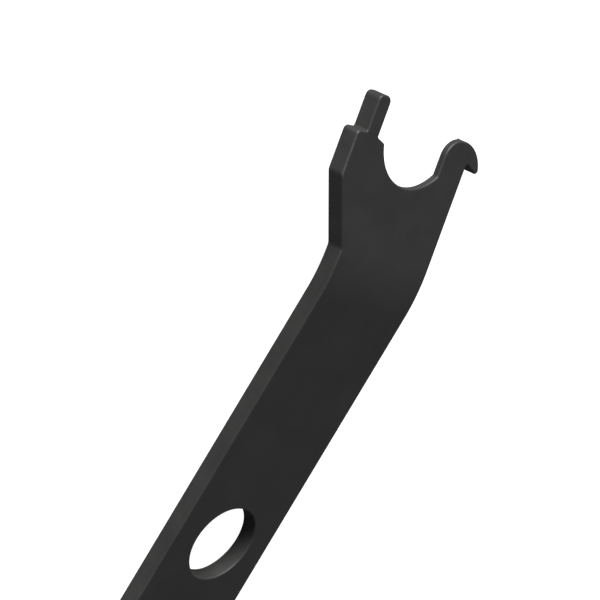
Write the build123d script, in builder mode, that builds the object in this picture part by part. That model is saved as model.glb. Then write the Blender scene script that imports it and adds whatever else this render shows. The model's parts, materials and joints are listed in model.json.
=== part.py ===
from build123d import *
import os
from math import atan2, degrees, hypot, radians, tan

os.makedirs("parts", exist_ok=True)

# A flat lever wrench: one bent steel plate with a notched and hooked head, and a vinyl sleeve
# pushed over the far end of its handle. It rests front face up, like a low arch, on the tips
# of its head and on the end of the sleeve.
#
# In every plane below, x runs across the plate and is positive on the hook side, y runs along
# the handle towards the head, and z points out of the front face. Heights and reaches are
# measured from the bend line, where the front planes of handle and head would meet.

# Plate stock and handle
PLATE_WIDTH = 36.0
PLATE_THICKNESS = 5.0
BEND_ANGLE = 13.3
BEND_RADIUS = 52.0  # on the inside of the bend, the back face
HANDLE_REACH = 226.0
HANDLE_CORNER = 8.0
HANG_HOLE_REACH = 76.9
HANG_HOLE_RADIUS = 10.35
HANG_HOLE_SIDE = 0.65

# Head outline, from the centre line of the handle
FLARE_SIDE = 28.2
FLARE_FOOT = 7.2
FLARE_TOP = 25.2
STEP_HEIGHT = 37.1
PRONG_OUTER = 24.5
PRONG_INNER = 19.6
PRONG_TIP = 47.0
LEDGE_HEIGHT = 36.3
LIP_SIDE = 16.2
LIP_HEIGHT = 35.1
NOTCH_SIDE = 2.15
NOTCH_HEIGHT = 40.6
FINGER_SIDE = 8.6
FINGER_FOOT = 30.1
HOOK_SIDE = 13.5
HOOK_HEIGHT = 35.5
BEAK_BACK = (20.65, 37.95)
BEAK_TIP = (23.9, 32.1)
THROAT_HEIGHT = 35.15

# Corners, edges and the countersink behind the notch
FLARE_CORNER = 2.0
STEP_CORNER = 1.3
INNER_CORNER = 0.5
BEAK_CORNER = 0.9
PRONG_CORNER = 1.6
PRONG_INNER_CORNER = 2.0
PLATE_EDGE = 0.5
HOLE_EDGE = 0.3
HOLE_CHAMFER = 0.5
RELIEF_DEPTH = 3.0
RELIEF_WIDTH = 4.0

# Vinyl sleeve
SLEEVE_MOUTH = 106.0  # reach of its open end
SLEEVE_WALL = 2.4
SLEEVE_END = 4.0
SLEEVE_CROWN = 2.0
SLEEVE_EDGE = 2.4
SLEEVE_CORNER = 12.0
COLLAR_LENGTH = 7.0
COLLAR_RISE = 2.0
COLLAR_EDGE = 1.5

# Resting attitude: the handle climbs towards the head, and the hook side hangs lower
REST_PITCH = 1.11
REST_ROLL = 2.21
FOOT_ROUNDING = 0.18  # how far the rounded edges hold the sharp outline off the floor

half_width = PLATE_WIDTH / 2
sleeve_reach = HANDLE_REACH + SLEEVE_END
bend_tangent = (BEND_RADIUS + PLATE_THICKNESS) * tan(radians(BEND_ANGLE / 2))
notch_radius = hypot(LIP_SIDE - NOTCH_SIDE, NOTCH_HEIGHT - LIP_HEIGHT)
hook_radius = HOOK_SIDE - FINGER_SIDE
hook_top = (HOOK_SIDE, HOOK_HEIGHT + hook_radius)

# At rest the tool leans on the foot of its prong, which sets the height of the bend line. The
# origin of the part is on the floor, under the middle of the tool.
lean = Location((0, 0, 0), (REST_ROLL, -REST_PITCH, 0))
heading = Plane(origin=(0, 0, 0), x_dir=(0, -1, 0), z_dir=(0, 0, 1)).location
bend = Location((0, 0, 0), (-BEND_ANGLE, 0, 0))
leaning_head = Plane(lean * heading * bend)
prong_foot = leaning_head.from_local_coords(Vector(-PRONG_INNER, PRONG_TIP, -PLATE_THICKNESS))
prong_top = leaning_head.from_local_coords(Vector(-PRONG_OUTER, PRONG_TIP, 0))
rest = Location(
    (
        (sleeve_reach - prong_top.X) / 2,
        (BEAK_TIP[0] - FLARE_SIDE) / 2,
        -prong_foot.Z - FOOT_ROUNDING,
    )
)
tool_plane = Plane(rest * lean * heading)
head_plane = Plane(rest * lean * heading * bend)
bend_plane = Plane(tool_plane.location * Location((0, -bend_tangent, 0), (90, 0, 0)))
handle_axis = Axis(tool_plane.origin, tool_plane.y_dir)
face_axis = Axis(tool_plane.origin, tool_plane.z_dir)
sleeve_end_plane = Plane(
    tool_plane.location * Location((0, -sleeve_reach, -PLATE_THICKNESS / 2), (-90, 0, 0))
)


def corner(sketch, x, y):
    """The vertex of a sketch that lies nearest to a point."""
    return sketch.vertices().sort_by_distance((x, y, 0))[0]


def strip_end(width, reach, start, corner_radius):
    """A strip along the handle, from start to reach behind the bend line, with a rounded end."""
    with BuildSketch(mode=Mode.PRIVATE) as strip:
        with Locations((0, -reach)):
            Rectangle(width, reach - start, align=(Align.CENTER, Align.MIN))
        fillet(strip.vertices().group_by(Axis.Y)[0], corner_radius)
    return strip.sketch


with BuildPart() as steel_plate:
    with BuildSketch(tool_plane) as handle_outline:
        add(strip_end(PLATE_WIDTH, HANDLE_REACH, bend_tangent, HANDLE_CORNER))
        with Locations((HANG_HOLE_SIDE, -HANG_HOLE_REACH)):
            Circle(HANG_HOLE_RADIUS, mode=Mode.SUBTRACT)
    extrude(amount=-PLATE_THICKNESS)

    with BuildSketch(bend_plane) as bend_section:
        Rectangle(PLATE_WIDTH, PLATE_THICKNESS, align=(Align.CENTER, Align.MAX))
    bend_axis = Axis(
        tool_plane.from_local_coords(Vector(0, -bend_tangent, -BEND_RADIUS - PLATE_THICKNESS)),
        tool_plane.x_dir,
    )
    revolve(axis=bend_axis, revolution_arc=-BEND_ANGLE)

    with BuildSketch(head_plane) as head_outline:
        with BuildLine() as outline:
            Polyline(
                (half_width, THROAT_HEIGHT),
                (half_width, bend_tangent),
                (-half_width, bend_tangent),
                (-half_width, FLARE_FOOT),
                (-FLARE_SIDE, FLARE_TOP),
                (-FLARE_SIDE, STEP_HEIGHT),
                (-PRONG_OUTER, STEP_HEIGHT),
                (-PRONG_OUTER, PRONG_TIP),
                (-PRONG_INNER, PRONG_TIP),
                (-PRONG_INNER, LEDGE_HEIGHT),
                (-LIP_SIDE, LIP_HEIGHT),
            )
            ThreePointArc(
                (-LIP_SIDE, LIP_HEIGHT),
                (-NOTCH_SIDE, NOTCH_HEIGHT - notch_radius),
                (FINGER_SIDE, FINGER_FOOT),
            )
            Line((FINGER_SIDE, FINGER_FOOT), (FINGER_SIDE, HOOK_HEIGHT))
            RadiusArc((FINGER_SIDE, HOOK_HEIGHT), hook_top, hook_radius)
            ThreePointArc(hook_top, BEAK_BACK, BEAK_TIP)
            Line(BEAK_TIP, (half_width, THROAT_HEIGHT))
        make_face()
        fillet(corner(head_outline, -half_width, FLARE_FOOT), FLARE_CORNER)
        fillet(corner(head_outline, -FLARE_SIDE, FLARE_TOP), FLARE_CORNER)
        fillet(corner(head_outline, -FLARE_SIDE, STEP_HEIGHT), STEP_CORNER)
        fillet(corner(head_outline, -PRONG_OUTER, STEP_HEIGHT), INNER_CORNER)
        fillet(corner(head_outline, -PRONG_OUTER, PRONG_TIP), PRONG_CORNER)
        fillet(corner(head_outline, -PRONG_INNER, PRONG_TIP), PRONG_INNER_CORNER)
        fillet(corner(head_outline, -PRONG_INNER, LEDGE_HEIGHT), INNER_CORNER)
        fillet(corner(head_outline, FINGER_SIDE, FINGER_FOOT), INNER_CORNER)
        fillet(corner(head_outline, *BEAK_TIP), BEAK_CORNER)
        fillet(corner(head_outline, half_width, THROAT_HEIGHT), INNER_CORNER)
    extrude(amount=-PLATE_THICKNESS)

    with BuildSketch(head_plane.offset(-PLATE_THICKNESS)):
        with Locations((-NOTCH_SIDE, NOTCH_HEIGHT)):
            Circle(notch_radius + RELIEF_WIDTH)
    extrude(
        amount=RELIEF_DEPTH,
        taper=degrees(atan2(RELIEF_WIDTH, RELIEF_DEPTH)),
        mode=Mode.SUBTRACT,
    )

    # Every corner of the outline but the lip is rounded, so one long edge of the handle on each
    # face leads its edge round right round the plate.
    long_edges = steel_plate.edges().filter_by(handle_axis).sort_by(SortBy.LENGTH)[-4:]
    fillet(long_edges, PLATE_EDGE)
    rims = steel_plate.edges().filter_by(GeomType.CIRCLE)
    hole_rims = rims.filter_by(lambda rim: rim.radius == HANG_HOLE_RADIUS).sort_by(face_axis)
    fillet(hole_rims[-1], HOLE_EDGE)
    chamfer(hole_rims[0], HOLE_CHAMFER)


def sleeve_section(rise):
    """The oval section of the sleeve, stood off from the vinyl body by rise."""
    side = half_width + SLEEVE_WALL + rise
    edge = PLATE_THICKNESS / 2 + SLEEVE_WALL + rise
    crown = edge + SLEEVE_CROWN
    with BuildSketch(mode=Mode.PRIVATE) as section:
        with BuildLine():
            Line((side, -edge), (side, edge))
            ThreePointArc((side, edge), (0, crown), (-side, edge))
            Line((-side, edge), (-side, -edge))
            ThreePointArc((-side, -edge), (0, -crown), (side, -edge))
        make_face()
    return section.sketch


with BuildPart() as grip_sleeve:
    with BuildSketch(sleeve_end_plane):
        add(sleeve_section(0))
    extrude(amount=sleeve_reach - SLEEVE_MOUTH)
    with BuildSketch(tool_plane.offset(-PLATE_THICKNESS / 2)):
        add(strip_end(PLATE_WIDTH + 2 * SLEEVE_WALL, sleeve_reach, SLEEVE_MOUTH, SLEEVE_CORNER))
    extrude(amount=PLATE_WIDTH, both=True, mode=Mode.INTERSECT)
    fillet(grip_sleeve.edges().filter_by(handle_axis), SLEEVE_EDGE)

    with BuildSketch(sleeve_end_plane.offset(sleeve_reach - SLEEVE_MOUTH - COLLAR_LENGTH)):
        add(sleeve_section(COLLAR_RISE))
    extrude(amount=COLLAR_LENGTH)
    collar_edges = grip_sleeve.edges().filter_by(handle_axis).group_by(SortBy.LENGTH)[0]
    fillet(collar_edges, SLEEVE_EDGE)
    fillet(grip_sleeve.faces().sort_by(handle_axis)[-1].edges(), COLLAR_EDGE)

    with BuildSketch(tool_plane):
        add(strip_end(PLATE_WIDTH, HANDLE_REACH, SLEEVE_MOUTH, HANDLE_CORNER))
    extrude(amount=-PLATE_THICKNESS, mode=Mode.SUBTRACT)

steel_plate.part.label = "steel_plate"
export_step(steel_plate.part, "parts/steel_plate.step")
grip_sleeve.part.label = "grip_sleeve"
export_step(grip_sleeve.part, "parts/grip_sleeve.step")
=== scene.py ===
"""A bent plate lever wrench with a vinyl sleeve, lying front face up on a pale floor."""

import json
import math

import bpy
import numpy as np
from mathutils import Matrix, Vector, noise
from mathutils.geometry import delaunay_2d_cdt


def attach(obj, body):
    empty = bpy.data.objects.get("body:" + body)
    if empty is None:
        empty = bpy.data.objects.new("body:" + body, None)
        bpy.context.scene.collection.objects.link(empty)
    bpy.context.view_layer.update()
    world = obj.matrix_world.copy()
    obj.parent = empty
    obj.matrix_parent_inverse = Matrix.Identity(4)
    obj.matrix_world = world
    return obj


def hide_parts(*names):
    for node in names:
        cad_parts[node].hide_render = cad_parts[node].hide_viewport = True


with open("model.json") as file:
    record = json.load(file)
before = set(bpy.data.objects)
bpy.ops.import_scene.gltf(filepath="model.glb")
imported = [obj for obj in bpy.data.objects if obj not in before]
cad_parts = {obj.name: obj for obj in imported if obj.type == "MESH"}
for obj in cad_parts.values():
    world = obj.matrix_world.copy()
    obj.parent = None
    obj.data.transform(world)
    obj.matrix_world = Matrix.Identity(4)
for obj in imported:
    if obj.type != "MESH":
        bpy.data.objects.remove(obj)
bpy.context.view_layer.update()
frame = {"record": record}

MM = 0.001

# ---------------------------------------------------------------- the plate, in millimetres
# Flat plate coordinates: x across, positive on the hook side; y along, 0 at the bend line and
# positive towards the head; depth below the front face.
HALF_WIDTH = 18.0
PLATE_THICKNESS = 5.0
BEND_RADIUS = 52.0
HANDLE_REACH = 226.0
HANDLE_CORNER = 8.0
HANG_HOLE_REACH = 76.9
HANG_HOLE_SIDE = 0.65
HANG_HOLE_RADIUS = 10.35

FLARE_SIDE = 28.2
FLARE_FOOT = 7.2
FLARE_TOP = 25.2
STEP_HEIGHT = 37.1
PRONG_OUTER = 24.5
PRONG_INNER = 19.6
PRONG_TIP = 47.0
LEDGE_HEIGHT = 36.3
LIP_SIDE = 16.2
LIP_HEIGHT = 35.1
NOTCH_SIDE = 2.15
NOTCH_HEIGHT = 40.6
FINGER_SIDE = 8.6
FINGER_FOOT = 30.1
HOOK_SIDE = 13.5
HOOK_HEIGHT = 35.5
BEAK_BACK = 20.65 + 37.95j
BEAK_TIP = 23.9 + 32.1j
THROAT_HEIGHT = 35.15

FLARE_CORNER = 2.0
STEP_CORNER = 1.3
INNER_CORNER = 0.5
BEAK_CORNER = 0.9
PRONG_CORNER = 1.6
PRONG_INNER_CORNER = 2.0
PLATE_EDGE = 0.5
HOLE_EDGE = 0.3
HOLE_CHAMFER = 0.5
RELIEF_DEPTH = 3.0
RELIEF_WIDTH = 4.0

# Mesh spacing
DENSE = 0.05  # between the points that an outline is first drawn with
HEAD_SPACING = 0.17
HANDLE_SPACING = 0.3
HOLE_SPACING = 0.2
HIDDEN_SPACING = 4.0  # under the sleeve
SHARP_TURN = math.radians(20)  # an outline's corner that keeps its point
EDGE_ROWS = 6
WALL_ROWS = 8
BEND_STRIPS = 14
CREASE_STEP = math.radians(1)
SUPPORT = 0.12  # of flat face beside each rounded edge, which keeps its shading flat
MERGE_REACH = 1e-5

# Cut marks across the plate's walls, and wear with a painted highlight along its edges
CUT_PITCH = 0.55
CUT_DEPTH = 0.05
CUT_FINENESS = 2.6  # of the fine marks, against the coarse ones
CUT_MEAN = 0.5  # of the depth, before the coarse and fine marks vary it
COARSE_SHARE = 0.45
FINE_SHARE = 0.25
COARSE_DRIFT = 0.8  # how far each pattern changes from the front to the back
FINE_DRIFT = 1.7
COARSE_LAYER = 3.0  # where in the noise each pattern is taken
FINE_LAYER = 9.0
OUTLINE_CUTS = 1.0
HOLE_CUTS = -0.5  # negative, as on any hole, and shallower than on the outline
# The edges' brightening is partly wear and partly a painted highlight, strongest along the side of the
# flare
EDGE_WEAR_AND_HIGHLIGHT = 0.1
FLARE_WEAR_AND_HIGHLIGHT = 1.0
FLARE_HIGHLIGHT_SIDE = HALF_WIDTH + 6
FLARE_HIGHLIGHT_START = FLARE_TOP - 2
PLATE_CREASE = 30.0  # degrees, beyond which an edge is shaded sharp

# ---------------------------------------------------------------- the sleeve, in millimetres
SLEEVE_MOUTH = 106.0
SLEEVE_WALL = 2.4
SLEEVE_END = 4.0
SLEEVE_CROWN = 2.0
SLEEVE_EDGE = 2.4
SLEEVE_CORNER = 12.0
SLEEVE_NOSE = 3.0
COLLAR_LENGTH = 7.0
COLLAR_RISE = 2.0
COLLAR_EDGE = 1.5
COLLAR_FOOT = 1.6
RIB_START = 20.0
RIB_END = 104.0
RIB_PITCH = 4.0
RIB_DEPTH = 0.7
RIB_SHARPNESS = 1.5
MOUTH_WIDTH = 0.86  # of the section, where the mouth's face goes in under the plate's skin
MOUTH_HEIGHT = 0.34
MOUTH_INSETS = (1.0, 0.5)
END_SHARE = 0.6  # of the end's section that the flat end takes
SLEEVE_POINTS = 132
SLEEVE_STEP = 0.5
NOSE_ROWS = 10
SLEEVE_CREASE = 35.0  # degrees

# ---------------------------------------------------------------- where the plate lies
mounts = {mount["name"]: mount for mount in frame["record"]["mounts"]}
face_normal = Vector(mounts["hang_hole"]["axis"]).normalized()
head_normal = Vector(mounts["notch"]["axis"]).normalized()
across = head_normal.cross(face_normal).normalized()
along = face_normal.cross(across)
bend_angle = face_normal.angle(head_normal)
bend_point = (
    Vector(mounts["hang_hole"]["pos_m"])
    + along * HANG_HOLE_REACH * MM
    - across * HANG_HOLE_SIDE * MM
    + face_normal * (HOLE_EDGE + PLATE_THICKNESS - HOLE_CHAMFER) / 2 * MM
)
bend_tangent = (BEND_RADIUS + PLATE_THICKNESS) * math.tan(bend_angle / 2)
notch_centre = complex(-NOTCH_SIDE, NOTCH_HEIGHT)
notch_radius = math.hypot(LIP_SIDE - NOTCH_SIDE, NOTCH_HEIGHT - LIP_HEIGHT)
hook_radius = HOOK_SIDE - FINGER_SIDE
sleeve_length = HANDLE_REACH + SLEEVE_END - SLEEVE_MOUTH


def placed(flat):
    """Flat plate coordinates, an array of (x, y, depth) in mm, as points of the row frame in m."""
    x, y, depth = flat.T
    turn = np.clip((y + bend_tangent) / (2 * bend_tangent), 0, 1) * bend_angle
    outer = BEND_RADIUS + PLATE_THICKNESS - depth
    reach = outer * np.sin(turn) - bend_tangent
    rise = outer * np.cos(turn) - BEND_RADIUS - PLATE_THICKNESS
    straight = np.minimum(y + bend_tangent, 0) + np.maximum(y - bend_tangent, 0)
    reach += straight * np.cos(turn)
    rise -= straight * np.sin(turn)
    axes = np.array((across, along, face_normal))
    return np.array(bend_point) + MM * np.stack((x, reach, rise), axis=1) @ axes


# ---------------------------------------------------------------- outlines, as complex numbers
def line(start, end):
    """Points along a straight run."""
    count = max(2, round(abs(end - start) / DENSE) + 1)
    return np.linspace(start, end, count)


def arc(start, middle, end):
    """Points along the arc through three points."""
    ratio = (end - start) / (middle - start)
    centre = start + (middle - start) * (ratio - abs(ratio) ** 2) / (ratio - ratio.conjugate())
    turn = np.angle((middle - centre) / (start - centre)) + np.angle((end - centre) / (middle - centre))
    count = max(2, round(abs(start - centre) * abs(turn) / DENSE) + 1)
    return centre + (start - centre) * np.exp(1j * turn * np.linspace(0, 1, count))


def rounded(before, after, radius):
    """Two runs that meet in a corner, each cut back, and the arc of the radius between them."""
    steps = np.diff(before)
    leaving = after[1] - after[0]
    side = 1j if (leaving / steps[-1]).imag > 0 else -1j
    centres = before[:-1] + side * radius * steps / abs(steps)
    gaps = abs(centres[:, None] - after[None, :]).min(axis=1)
    last = np.nonzero(gaps >= radius)[0][-1]
    centre = centres[last]
    first = abs(after - centre).argmin()
    spoke = before[last] - centre
    turn = np.angle((after[first] - centre) / spoke)
    count = max(2, round(radius * abs(turn) / DENSE) + 1)
    bow = centre + spoke * np.exp(1j * turn * np.linspace(0, 1, count))
    return before[:last], bow, after[first + 1:]


def closed(runs):
    """The loop of runs given as (points, radius of the corner at their end)."""
    lines = [points for points, radius in runs]
    corners = []
    for index, (points, radius) in enumerate(runs):
        after = (index + 1) % len(runs)
        bow = np.array([], dtype=complex)
        if radius:
            lines[index], bow, lines[after] = rounded(lines[index], lines[after], radius)
        corners.append(bow)
    loop = np.concatenate([part for pair in zip(lines, corners) for part in pair])
    return loop[abs(np.diff(loop, append=loop[0])) > DENSE / 20]


def thinned(loop, spacing):
    """The loop with points the spacing apart, a function of the point; sharp corners stay."""
    steps = np.diff(loop, append=loop[0])
    turns = abs(np.angle(steps / np.roll(steps, 1)))
    kept = [loop[0]]
    travelled = 0.0
    for index in range(1, len(loop)):
        travelled += abs(steps[index - 1])
        if turns[index] > SHARP_TURN or travelled >= spacing(loop[index]):
            kept.append(loop[index])
            travelled = 0.0
    return np.array(kept)


def inward(loop):
    """For each point, the step that moves the loop's two sides there inward by one unit."""
    ahead = np.diff(loop, append=loop[0])
    ahead = ahead / abs(ahead)
    behind = np.roll(ahead, 1)
    area = (loop.conjugate() * np.roll(loop, -1)).imag.sum()
    inner = 1j if area > 0 else -1j
    return inner * (ahead + behind) / (1 + (ahead * behind.conjugate()).real)


def nearest(loop, point):
    """The index of the loop's point nearest to a point."""
    return int(abs(loop - point).argmin())


def plate_outline():
    """The plate's edge, clockwise from the throat of the hook."""
    throat = complex(HALF_WIDTH, THROAT_HEIGHT)
    butt = complex(HALF_WIDTH, -HANDLE_REACH)
    far_butt = complex(-HALF_WIDTH, -HANDLE_REACH)
    foot = complex(-HALF_WIDTH, FLARE_FOOT)
    flare = complex(-FLARE_SIDE, FLARE_TOP)
    step = complex(-FLARE_SIDE, STEP_HEIGHT)
    prong_foot = complex(-PRONG_OUTER, STEP_HEIGHT)
    prong_top = complex(-PRONG_OUTER, PRONG_TIP)
    prong_end = complex(-PRONG_INNER, PRONG_TIP)
    ledge = complex(-PRONG_INNER, LEDGE_HEIGHT)
    lip = complex(-LIP_SIDE, LIP_HEIGHT)
    notch_bottom = notch_centre - 1j * notch_radius
    finger = complex(FINGER_SIDE, FINGER_FOOT)
    finger_top = complex(FINGER_SIDE, HOOK_HEIGHT)
    hook_centre = complex(HOOK_SIDE, HOOK_HEIGHT)
    hook_turn = hook_centre + hook_radius * np.exp(0.75j * math.pi)
    hook_top = hook_centre + 1j * hook_radius
    return closed([
        (line(throat, butt), HANDLE_CORNER),
        (line(butt, far_butt), HANDLE_CORNER),
        (line(far_butt, foot), FLARE_CORNER),
        (line(foot, flare), FLARE_CORNER),
        (line(flare, step), STEP_CORNER),
        (line(step, prong_foot), INNER_CORNER),
        (line(prong_foot, prong_top), PRONG_CORNER),
        (line(prong_top, prong_end), PRONG_INNER_CORNER),
        (line(prong_end, ledge), INNER_CORNER),
        (line(ledge, lip), 0),
        (arc(lip, notch_bottom, finger), INNER_CORNER),
        (line(finger, finger_top), 0),
        (arc(finger_top, hook_turn, hook_top), 0),
        (arc(hook_top, BEAK_BACK, BEAK_TIP), BEAK_CORNER),
        (line(BEAK_TIP, throat), INNER_CORNER),
    ])


def plate_spacing(point):
    """How far apart the outline's points are: closest on the head, wide under the sleeve."""
    if point.imag > -bend_tangent:
        return HEAD_SPACING
    if point.imag > -SLEEVE_MOUTH - 1:
        return HANDLE_SPACING
    return HIDDEN_SPACING


def back_depth(points):
    """Depth of the back surface, with the countersink round the notch."""
    climb = np.maximum(abs(points - notch_centre) - notch_radius, 0)
    cone = PLATE_THICKNESS - RELIEF_DEPTH + climb * RELIEF_DEPTH / RELIEF_WIDTH
    return np.minimum(cone, PLATE_THICKNESS)


def cut_marks(loop, fraction):
    """How deep the marks across the wall are cut, at a fraction of the way down it."""
    travel = np.concatenate(((0,), np.cumsum(abs(np.diff(loop)))))
    fade = math.sin(math.pi * fraction) ** 0.5
    steps = travel / CUT_PITCH
    coarse = [noise.noise(Vector((x, fraction * COARSE_DRIFT, COARSE_LAYER))) for x in steps]
    fine = [noise.noise(Vector((x * CUT_FINENESS, fraction * FINE_DRIFT, FINE_LAYER))) for x in steps]
    depth = CUT_MEAN + COARSE_SHARE * np.array(coarse) + FINE_SHARE * np.array(fine)
    return CUT_DEPTH * fade * np.clip(depth, 0, 1)


def edge_wear_and_highlight(points, turn):
    """How bright the rounded edge is made, partly as wear and partly as a painted highlight, at a turn
    round it: most along the side of the flare.
    """
    on_flare = points.real < -FLARE_HIGHLIGHT_SIDE
    on_flare &= (points.imag > FLARE_HIGHLIGHT_START) & (points.imag < STEP_HEIGHT)
    return math.sin(2 * turn) * np.where(on_flare, FLARE_WEAR_AND_HIGHLIGHT, EDGE_WEAR_AND_HIGHLIGHT)


def wall_rows(loop, edge, marks, chamfer=0.0):
    """Rows of (points, depths, wear and painted highlight, wall) from the front support ring round to
    the back one.

    The edge is the radius of the rounded edges, the chamfer stands in for it on the back, and
    marks scales the cut marks. All three are negative on a hole, because the inward steps of its
    loop point out of the steel.
    """
    step = inward(loop)
    zero = np.zeros(len(loop))
    support = math.copysign(SUPPORT, edge)
    lip = abs(edge)
    back_lip = abs(chamfer) or lip
    rows = [(loop + step * (edge + support), zero, zero, zero)]
    for turn in np.linspace(0, math.pi / 2, EDGE_ROWS + 1):
        ring = loop + step * edge * (1 - math.sin(turn))
        depth = zero + lip * (1 - math.cos(turn))
        rows.append((ring, depth, edge_wear_and_highlight(ring, turn), zero + math.sin(turn)))
    lowest = back_depth(loop)
    for fraction in np.arange(1, WALL_ROWS + 1) / (WALL_ROWS + 1):
        ring = loop + step * marks * cut_marks(loop, fraction)
        rows.append((ring, lip + (lowest - lip - back_lip) * fraction, zero, zero + 1))
    for turn in np.linspace(math.pi / 2, 0, EDGE_ROWS + 1):
        inset = edge * (1 - math.sin(turn))
        drop = lip * (1 - math.cos(turn))
        if chamfer:
            drop = back_lip * turn / (math.pi / 2)
            inset = chamfer - math.copysign(drop, chamfer)
        ring = loop + step * inset
        rows.append((ring, back_depth(ring) - drop, edge_wear_and_highlight(ring, turn), zero + math.sin(turn)))
    ring = loop + step * ((chamfer or edge) + support)
    rows.append((ring, back_depth(ring), zero, zero))
    return rows


def inside(points, loop):
    """Which of the points lie inside the loop."""
    px, py = points.real[:, None], points.imag[:, None]
    ends = np.roll(loop, -1)
    ax, ay, bx, by = loop.real, loop.imag, ends.real, ends.imag
    spans = (ay > py) != (by > py)
    rise = np.where(by == ay, 1, by - ay)
    crossing = spans & (px < ax + (py - ay) * (bx - ax) / rise)
    return crossing.sum(axis=1) % 2 == 1


def bend_lines(ring):
    """Pairs of indices into the ring, one pair for each fold line across the bend."""
    pairs = []
    for y in np.linspace(-bend_tangent, bend_tangent, BEND_STRIPS + 1):
        pairs.append(tuple(nearest(ring, complex(side, y)) for side in (-HALF_WIDTH, HALF_WIDTH)))
    return pairs


def creases(ring):
    """Chains of points inside the ring along the two crease circles of the countersink."""
    chains = []
    for radius in (notch_radius, notch_radius + RELIEF_WIDTH):
        angles = np.arange(0, 2 * math.pi - CREASE_STEP / 2, CREASE_STEP)
        circle = notch_centre + radius * np.exp(1j * angles)
        near = abs(circle[:, None] - ring[None, :]).min(axis=1) < 2 * SUPPORT
        kept = inside(circle, ring) & ~near
        starts = np.nonzero(kept & ~np.roll(kept, 1))[0]
        for start in starts:
            chain = []
            index = start
            while kept[index % len(kept)]:
                chain.append(circle[index % len(kept)])
                index += 1
            chains.append(chain)
    return chains


def filled(ring, hole, chains):
    """Triangles that fill the ring round the hole: the extra points, and index triples."""
    points = list(ring) + list(hole)
    edges = []
    for first, count in ((0, len(ring)), (len(ring), len(hole))):
        edges += [(first + i, first + (i + 1) % count) for i in range(count)]
    edges += bend_lines(ring)
    for chain in chains:
        first = len(points)
        last = first + len(chain) - 1
        points += chain
        edges += [(i, i + 1) for i in range(first, last)]
        edges += [(first, nearest(ring, chain[0])), (last, nearest(ring, chain[-1]))]
    flat = [Vector((p.real, p.imag)) for p in points]
    found, _, faces, origins, _, _ = delaunay_2d_cdt(flat, edges, [], 0, MERGE_REACH)
    index_of = []
    for place, sources in zip(found, origins):
        if not sources:
            points.append(complex(place.x, place.y))
        index_of.append(sources[0] if sources else len(points) - 1)
    faces = [[index_of[i] for i in face] for face in faces]
    cloud = np.array(points)
    middles = np.array([cloud[face].mean() for face in faces])
    good = inside(middles, ring) & ~inside(middles, hole)
    return points[len(ring) + len(hole):], [face for face, keep in zip(faces, good) if keep]


class Shell:
    """Vertices and faces of a mesh in flat plate coordinates, with values for wear and painted
    highlight, and wall values.
    """

    def __init__(self):
        self.flat = []
        self.wear_and_highlight = []
        self.wall = []
        self.faces = []

    def add(self, points, depths, wear_and_highlight, wall):
        """A row of vertices. Returns the index of its first."""
        start = len(self.flat)
        self.flat += [(p.real, p.imag, d) for p, d in zip(points, depths)]
        self.wear_and_highlight += list(wear_and_highlight)
        self.wall += list(wall)
        return start

    def wrap(self, rows):
        """Closed rows with quads between them. Returns the starts of the first and last row."""
        starts = [self.add(*row) for row in rows]
        count = len(rows[0][0])
        for upper, lower in zip(starts, starts[1:]):
            for i in range(count):
                j = (i + 1) % count
                self.faces.append((upper + i, upper + j, lower + j, lower + i))
        return starts[0], starts[-1]

    def cap(self, ring, ring_start, hole, hole_start, chains, depth_of):
        """Triangles across the front or the back, between the ring and the hole."""
        extra, triangles = filled(ring, hole, chains)
        extra = np.array(extra, dtype=complex)
        plain = np.zeros(len(extra))
        extra_start = self.add(extra, depth_of(extra), plain, plain)
        lookup = list(range(ring_start, ring_start + len(ring)))
        lookup += range(hole_start, hole_start + len(hole))
        lookup += range(extra_start, extra_start + len(extra))
        self.faces += [tuple(lookup[i] for i in triangle) for triangle in triangles]


def new_object(name, vertices, faces, material, sharp):
    """A smooth-shaded mesh object whose creases steeper than the angle stay sharp."""
    mesh = bpy.data.meshes.new(name)
    mesh.from_pydata(vertices, [], faces)
    mesh.validate()
    mesh.materials.append(material)
    piece = bpy.data.objects.new(name, mesh)
    bpy.context.collection.objects.link(piece)
    bpy.context.view_layer.objects.active = piece
    bpy.ops.object.mode_set(mode="EDIT")
    bpy.ops.mesh.select_all(action="SELECT")
    bpy.ops.mesh.normals_make_consistent(inside=False)
    bpy.ops.object.mode_set(mode="OBJECT")
    mesh.shade_smooth()
    mesh.set_sharp_from_angle(angle=math.radians(sharp))
    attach(piece, "root")
    return piece


def value_on(piece, name, values):
    """A float attribute on the piece's vertices, for its material."""
    layer = piece.data.attributes.new(name, "FLOAT", "POINT")
    layer.data.foreach_set("value", values)


def make_plate():
    """The steel plate: rounded edges, cut walls, bent faces and the countersunk notch."""
    outline = thinned(plate_outline(), plate_spacing)
    hole_centre = complex(HANG_HOLE_SIDE, -HANG_HOLE_REACH)
    angles = np.arange(0, 2 * math.pi, HOLE_SPACING / HANG_HOLE_RADIUS)
    hole = hole_centre + HANG_HOLE_RADIUS * np.exp(1j * angles)
    shell = Shell()
    edge_rows = wall_rows(outline, PLATE_EDGE, OUTLINE_CUTS)
    hole_rows = wall_rows(hole, -HOLE_EDGE, HOLE_CUTS, -HOLE_CHAMFER)
    ring_front, ring_back = shell.wrap(edge_rows)
    hole_front, hole_back = shell.wrap(hole_rows)
    front_ring, back_ring = edge_rows[0][0], edge_rows[-1][0]
    front_hole, back_hole = hole_rows[0][0], hole_rows[-1][0]
    shell.cap(front_ring, ring_front, front_hole, hole_front, [], lambda p: np.zeros(len(p)))
    chains = creases(back_ring)
    shell.cap(back_ring, ring_back, back_hole, hole_back, chains, back_depth)
    vertices = placed(np.array(shell.flat))
    plate = new_object("lever_plate", vertices, shell.faces, black_steel(), PLATE_CREASE)
    value_on(plate, "wear_and_highlight", shell.wear_and_highlight)
    value_on(plate, "wall", shell.wall)
    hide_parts("steel_plate")


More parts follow.
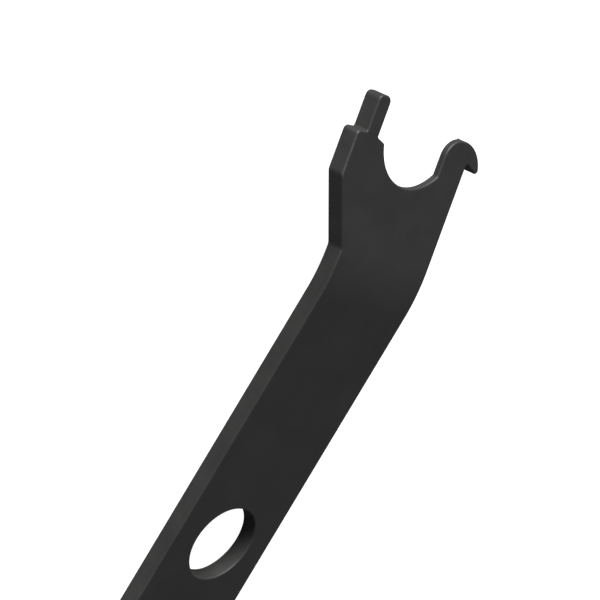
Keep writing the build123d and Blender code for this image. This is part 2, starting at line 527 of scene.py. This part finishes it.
# ---------------------------------------------------------------- the sleeve
def sleeve_profile():
    """The sleeve's section as evenly spaced points, and its outward normals."""
    side = HALF_WIDTH + SLEEVE_WALL
    edge = PLATE_THICKNESS / 2 + SLEEVE_WALL
    crown = edge + SLEEVE_CROWN
    loop = closed([
        (line(complex(side, -edge), complex(side, edge)), SLEEVE_EDGE),
        (arc(complex(side, edge), complex(0, crown), complex(-side, edge)), SLEEVE_EDGE),
        (line(complex(-side, edge), complex(-side, -edge)), SLEEVE_EDGE),
        (arc(complex(-side, -edge), complex(0, -crown), complex(side, -edge)), SLEEVE_EDGE),
    ])
    travel = np.concatenate(((0,), np.cumsum(abs(np.diff(loop, append=loop[0])))))
    wanted = np.linspace(0, travel[-1], SLEEVE_POINTS, endpoint=False)
    points = loop[np.searchsorted(travel, wanted, side="right") - 1]
    return points, -inward(points)


def sleeve_rise(distance):
    """How far the sleeve's skin stands off its plain body, at a distance from the mouth."""
    if distance < COLLAR_EDGE:
        turn = COLLAR_EDGE - distance
        return COLLAR_RISE - COLLAR_EDGE + math.sqrt(max(COLLAR_EDGE ** 2 - turn ** 2, 0))
    if distance < COLLAR_LENGTH - COLLAR_FOOT:
        return COLLAR_RISE
    if distance < COLLAR_LENGTH + COLLAR_FOOT:
        part = (distance - COLLAR_LENGTH + COLLAR_FOOT) / (2 * COLLAR_FOOT)
        return COLLAR_RISE * (0.5 + 0.5 * math.cos(math.pi * part))
    if RIB_START < distance < RIB_END:
        phase = (distance - RIB_START) / RIB_PITCH
        groove = max(0.0, math.cos(2 * math.pi * (phase - 0.5))) ** RIB_SHARPNESS
        return -RIB_DEPTH * groove
    if distance > sleeve_length - SLEEVE_NOSE:
        turn = distance - sleeve_length + SLEEVE_NOSE
        return math.sqrt(max(SLEEVE_NOSE ** 2 - turn ** 2, 0)) - SLEEVE_NOSE
    return 0.0


def sleeve_narrowing(distance):
    """The sleeve's width at a distance from the mouth, as a part of its full width."""
    past = max(0.0, distance - sleeve_length + SLEEVE_CORNER)
    cut = SLEEVE_CORNER - math.sqrt(max(SLEEVE_CORNER ** 2 - past ** 2, 0))
    return 1 - cut / (HALF_WIDTH + SLEEVE_WALL)


def sleeve_rings():
    """Rings of (section, distance from the mouth, narrowing), from inside the mouth to the end."""
    points, normals = sleeve_profile()
    outer = points + normals * sleeve_rise(0)
    inner = points.real * MOUTH_WIDTH + 1j * points.imag * MOUTH_HEIGHT
    rings = [(inner * inset + outer * (1 - inset), 0.0, 1.0) for inset in MOUTH_INSETS]
    plain = np.arange(0, sleeve_length - SLEEVE_NOSE, SLEEVE_STEP)
    turns = np.linspace(0, math.pi / 2, NOSE_ROWS)
    nose = sleeve_length - SLEEVE_NOSE + SLEEVE_NOSE * np.sin(turns)
    for distance in np.concatenate((plain, nose)):
        section = points + normals * sleeve_rise(distance)
        rings.append((section, distance, sleeve_narrowing(distance)))
    section, _, narrowing = rings[-1]
    rings.append((section * END_SHARE, sleeve_length, narrowing))
    return rings


def make_sleeve():
    """The vinyl sleeve: a collar at its mouth, ribs across the grip, and a rounded end."""
    shell = Shell()
    rows = []
    for section, distance, narrowing in sleeve_rings():
        loop = section.real * narrowing - 1j * (SLEEVE_MOUTH + distance)
        plain = np.zeros(len(loop))
        rows.append((loop, PLATE_THICKNESS / 2 - section.imag, plain, plain))
    _, end_start = shell.wrap(rows)
    shell.faces.append(tuple(end_start + i for i in range(SLEEVE_POINTS)))
    vertices = placed(np.array(shell.flat))
    sleeve = new_object("vinyl_sleeve", vertices, shell.faces, black_vinyl(), SLEEVE_CREASE)
    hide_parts("grip_sleeve")


# ---------------------------------------------------------------- materials
FACE_DARK = (0.0088, 0.0083, 0.0090)
FACE_PALE = (0.0104, 0.0099, 0.0106)
WALL_DARK = (0.0090, 0.0090, 0.0088)
WALL_PALE = (0.0120, 0.0120, 0.0116)
# Lighter colour of the rounded edges: partly wear, partly a painted highlight
WORN_AND_HIGHLIT_STEEL = (0.032, 0.031, 0.032)
WORN_POLISH = 0.1  # how much less rough a worn edge is
VINYL_DARK = (0.011, 0.011, 0.0115)
VINYL_PALE = (0.016, 0.016, 0.0165)


class Nodes:
    """A short way to build a material's node tree."""

    def __init__(self, name):
        self.material = bpy.data.materials.new(name)
        self.material.use_nodes = True
        self.tree = self.material.node_tree
        self.shader = self.tree.nodes["Principled BSDF"]
        self.place = self.tree.nodes.new("ShaderNodeTexCoord").outputs["Object"]

    def link(self, source, target):
        self.tree.links.new(source, target)

    def noise(self, size, detail=3.0, roughness=0.5, stretch=None):
        """Noise with features of the size in mm, stretched by a factor on each axis."""
        node = self.tree.nodes.new("ShaderNodeTexNoise")
        node.inputs["Scale"].default_value = 1 / (size * MM)
        node.inputs["Detail"].default_value = detail
        node.inputs["Roughness"].default_value = roughness
        source = self.place
        if stretch:
            mapping = self.tree.nodes.new("ShaderNodeMapping")
            mapping.inputs["Scale"].default_value = stretch
            self.link(source, mapping.inputs["Vector"])
            source = mapping.outputs["Vector"]
        self.link(source, node.inputs["Vector"])
        return node.outputs["Fac"]

    def attribute(self, name):
        node = self.tree.nodes.new("ShaderNodeAttribute")
        node.attribute_name = name
        return node.outputs["Fac"]

    def span(self, source, low, high, start=0.0, end=1.0):
        """The source mapped from low..high to start..end, and held there beyond."""
        node = self.tree.nodes.new("ShaderNodeMapRange")
        for socket, value in zip(node.inputs[1:5], (low, high, start, end)):
            socket.default_value = value
        self.link(source, node.inputs[0])
        return node.outputs[0]

    def math(self, operation, first, second):
        """A math node on sockets or numbers."""
        node = self.tree.nodes.new("ShaderNodeMath")
        node.operation = operation
        for socket, value in zip(node.inputs, (first, second)):
            if isinstance(value, (int, float)):
                socket.default_value = value
            else:
                self.link(value, socket)
        return node.outputs[0]

    def blend(self, factor, first, second):
        """A colour between two, each a colour or a socket."""
        node = self.tree.nodes.new("ShaderNodeMix")
        node.data_type = "RGBA"
        self.link(factor, node.inputs["Factor"])
        for socket, value in zip((node.inputs[6], node.inputs[7]), (first, second)):
            if isinstance(value, tuple):
                socket.default_value = (*value, 1)
            else:
                self.link(value, socket)
        return node.outputs[2]

    def bump(self, height, distance, normal=None):
        """A bump of the distance in mm where the height goes from 0 to 1."""
        node = self.tree.nodes.new("ShaderNodeBump")
        node.inputs["Strength"].default_value = 1.0
        node.inputs["Distance"].default_value = distance * MM
        self.link(height, node.inputs["Height"])
        if normal is not None:
            self.link(normal, node.inputs["Normal"])
        return node.outputs["Normal"]


def black_steel():
    """Black oxide on rolled steel: soft mottling, fine grain, and edges a little brighter, partly worn
    and partly a painted highlight.
    """
    steel = Nodes("black_steel")
    mottle = steel.span(steel.noise(9.0, 4.0, 0.6), 0.35, 0.65)
    face = steel.blend(mottle, FACE_DARK, FACE_PALE)
    wall = steel.blend(mottle, WALL_DARK, WALL_PALE)
    colour = steel.blend(steel.attribute("wall"), face, wall)
    # A painted highlight along the rounded edges, mixed with wear, lightens them; patchy noise breaks
    # it up
    chipped = steel.span(steel.noise(1.1, 4.0, 0.65), 0.42, 0.62)
    wear_and_highlight_mask = steel.math("MULTIPLY", steel.attribute("wear_and_highlight"), chipped)
    colour = steel.blend(steel.span(wear_and_highlight_mask, 0.0, 1.0, 0.0, 0.6), colour, WORN_AND_HIGHLIT_STEEL)
    steel.link(colour, steel.shader.inputs["Base Color"])
    patches = steel.noise(5.0, 4.0, 0.6)
    rough = steel.span(patches, 0.3, 0.7, 0.50, 0.58)
    rough = steel.math("SUBTRACT", rough, steel.math("MULTIPLY", wear_and_highlight_mask, WORN_POLISH))
    steel.link(rough, steel.shader.inputs["Roughness"])
    grain = steel.bump(steel.noise(0.28, 3.0, 0.6), 0.006)
    drawn = steel.bump(steel.noise(0.5, 2.0, 0.5, (0.05, 1.0, 1.0)), 0.003, grain)
    steel.link(drawn, steel.shader.inputs["Normal"])
    steel.shader.inputs["Specular IOR Level"].default_value = 0.2
    return steel.material


def black_vinyl():
    """Moulded vinyl: near black with a satin sheen and a fine pebble."""
    vinyl = Nodes("black_vinyl")
    cloud = vinyl.span(vinyl.noise(14.0, 3.0, 0.5), 0.35, 0.65)
    colour = vinyl.blend(cloud, VINYL_DARK, VINYL_PALE)
    vinyl.link(colour, vinyl.shader.inputs["Base Color"])
    rough = vinyl.span(vinyl.noise(3.0, 4.0, 0.6), 0.3, 0.7, 0.52, 0.64)
    vinyl.link(rough, vinyl.shader.inputs["Roughness"])
    pebble = vinyl.bump(vinyl.noise(0.45, 2.0, 0.5), 0.03)
    vinyl.link(pebble, vinyl.shader.inputs["Normal"])
    vinyl.shader.inputs["Specular IOR Level"].default_value = 0.22
    return vinyl.material


# ---------------------------------------------------------------- stage, lights and camera
FLOOR_SIZE = 30.0
FLOOR_COLOUR = 0.25
SEEN_STRENGTH = 1.0  # of sky and floor, straight into the camera
SKY_STRENGTH = 0.31  # on the tool
KEY_FROM = (0.864, 0.503, 0.2)
KEY_STRENGTH = 20.0
KEY_SPREAD = 40.0

VIEW_WIDTH = 148.04
LENS = 1000.0
VIEW_TARGET = (-24.47, -8.13)
CAMERA_BACK = (-0.7884, 0.2357, 0.5682)
CAMERA_UP = (-0.1366, 0.8336, -0.5352)


def seen_strength(tree, lit):
    """A strength for what the camera sees directly, and another for the light it gives."""
    path = tree.nodes.new("ShaderNodeLightPath")
    mix = tree.nodes.new("ShaderNodeMapRange")
    mix.inputs["To Min"].default_value = lit
    mix.inputs["To Max"].default_value = SEEN_STRENGTH
    tree.links.new(path.outputs["Is Camera Ray"], mix.inputs["Value"])
    return mix.outputs["Result"]


def make_floor():
    """A floor that the camera sees as white, and that reflects light like a pale grey."""
    bpy.ops.mesh.primitive_plane_add(size=FLOOR_SIZE)
    floor = bpy.context.object
    floor.name = "floor"
    material = bpy.data.materials.new("floor")
    material.use_nodes = True
    tree = material.node_tree
    shader = tree.nodes["Principled BSDF"]
    shader.inputs["Base Color"].default_value = (FLOOR_COLOUR, FLOOR_COLOUR, FLOOR_COLOUR, 1)
    shader.inputs["Roughness"].default_value = 1.0
    shader.inputs["Specular IOR Level"].default_value = 0.0
    shader.inputs["Emission Color"].default_value = (1, 1, 1, 1)
    tree.links.new(seen_strength(tree, 0.0), shader.inputs["Emission Strength"])
    floor.data.materials.append(material)


def make_lights():
    """A white sky that lights the tool dimly, and one low, soft key light."""
    world = bpy.data.worlds.new("sky")
    bpy.context.scene.world = world
    world.use_nodes = True
    tree = world.node_tree
    background = tree.nodes["Background"]
    background.inputs["Color"].default_value = (1, 1, 1, 1)
    tree.links.new(seen_strength(tree, SKY_STRENGTH), background.inputs["Strength"])
    data = bpy.data.lights.new("key", "SUN")
    data.energy = KEY_STRENGTH
    data.angle = math.radians(KEY_SPREAD)
    key = bpy.data.objects.new("key", data)
    key.rotation_euler = Vector(KEY_FROM).to_track_quat("Z", "Y").to_euler()
    bpy.context.collection.objects.link(key)


def in_row(direction):
    """A direction given across, along and out of the handle's face, in the row frame."""
    return across * direction[0] + along * direction[1] + face_normal * direction[2]


def make_camera():
    """A long lens, so that the view is close to parallel."""
    back = in_row(CAMERA_BACK).normalized()
    up = in_row(CAMERA_UP)
    up = (up - back * up.dot(back)).normalized()
    turn = Matrix((up.cross(back), up, back)).transposed()
    target = bend_point + in_row((*VIEW_TARGET, 0)) * MM
    data = bpy.data.cameras.new("camera")
    data.lens = LENS
    distance = VIEW_WIDTH * MM * LENS / data.sensor_width
    data.clip_end = 4 * distance
    camera = bpy.data.objects.new("camera", data)
    camera.matrix_world = Matrix.Translation(target + back * distance) @ turn.to_4x4()
    bpy.context.collection.objects.link(camera)
    bpy.context.scene.camera = camera


make_plate()
make_sleeve()
make_floor()
make_lights()
make_camera()
bpy.context.scene.view_settings.view_transform = "Standard"
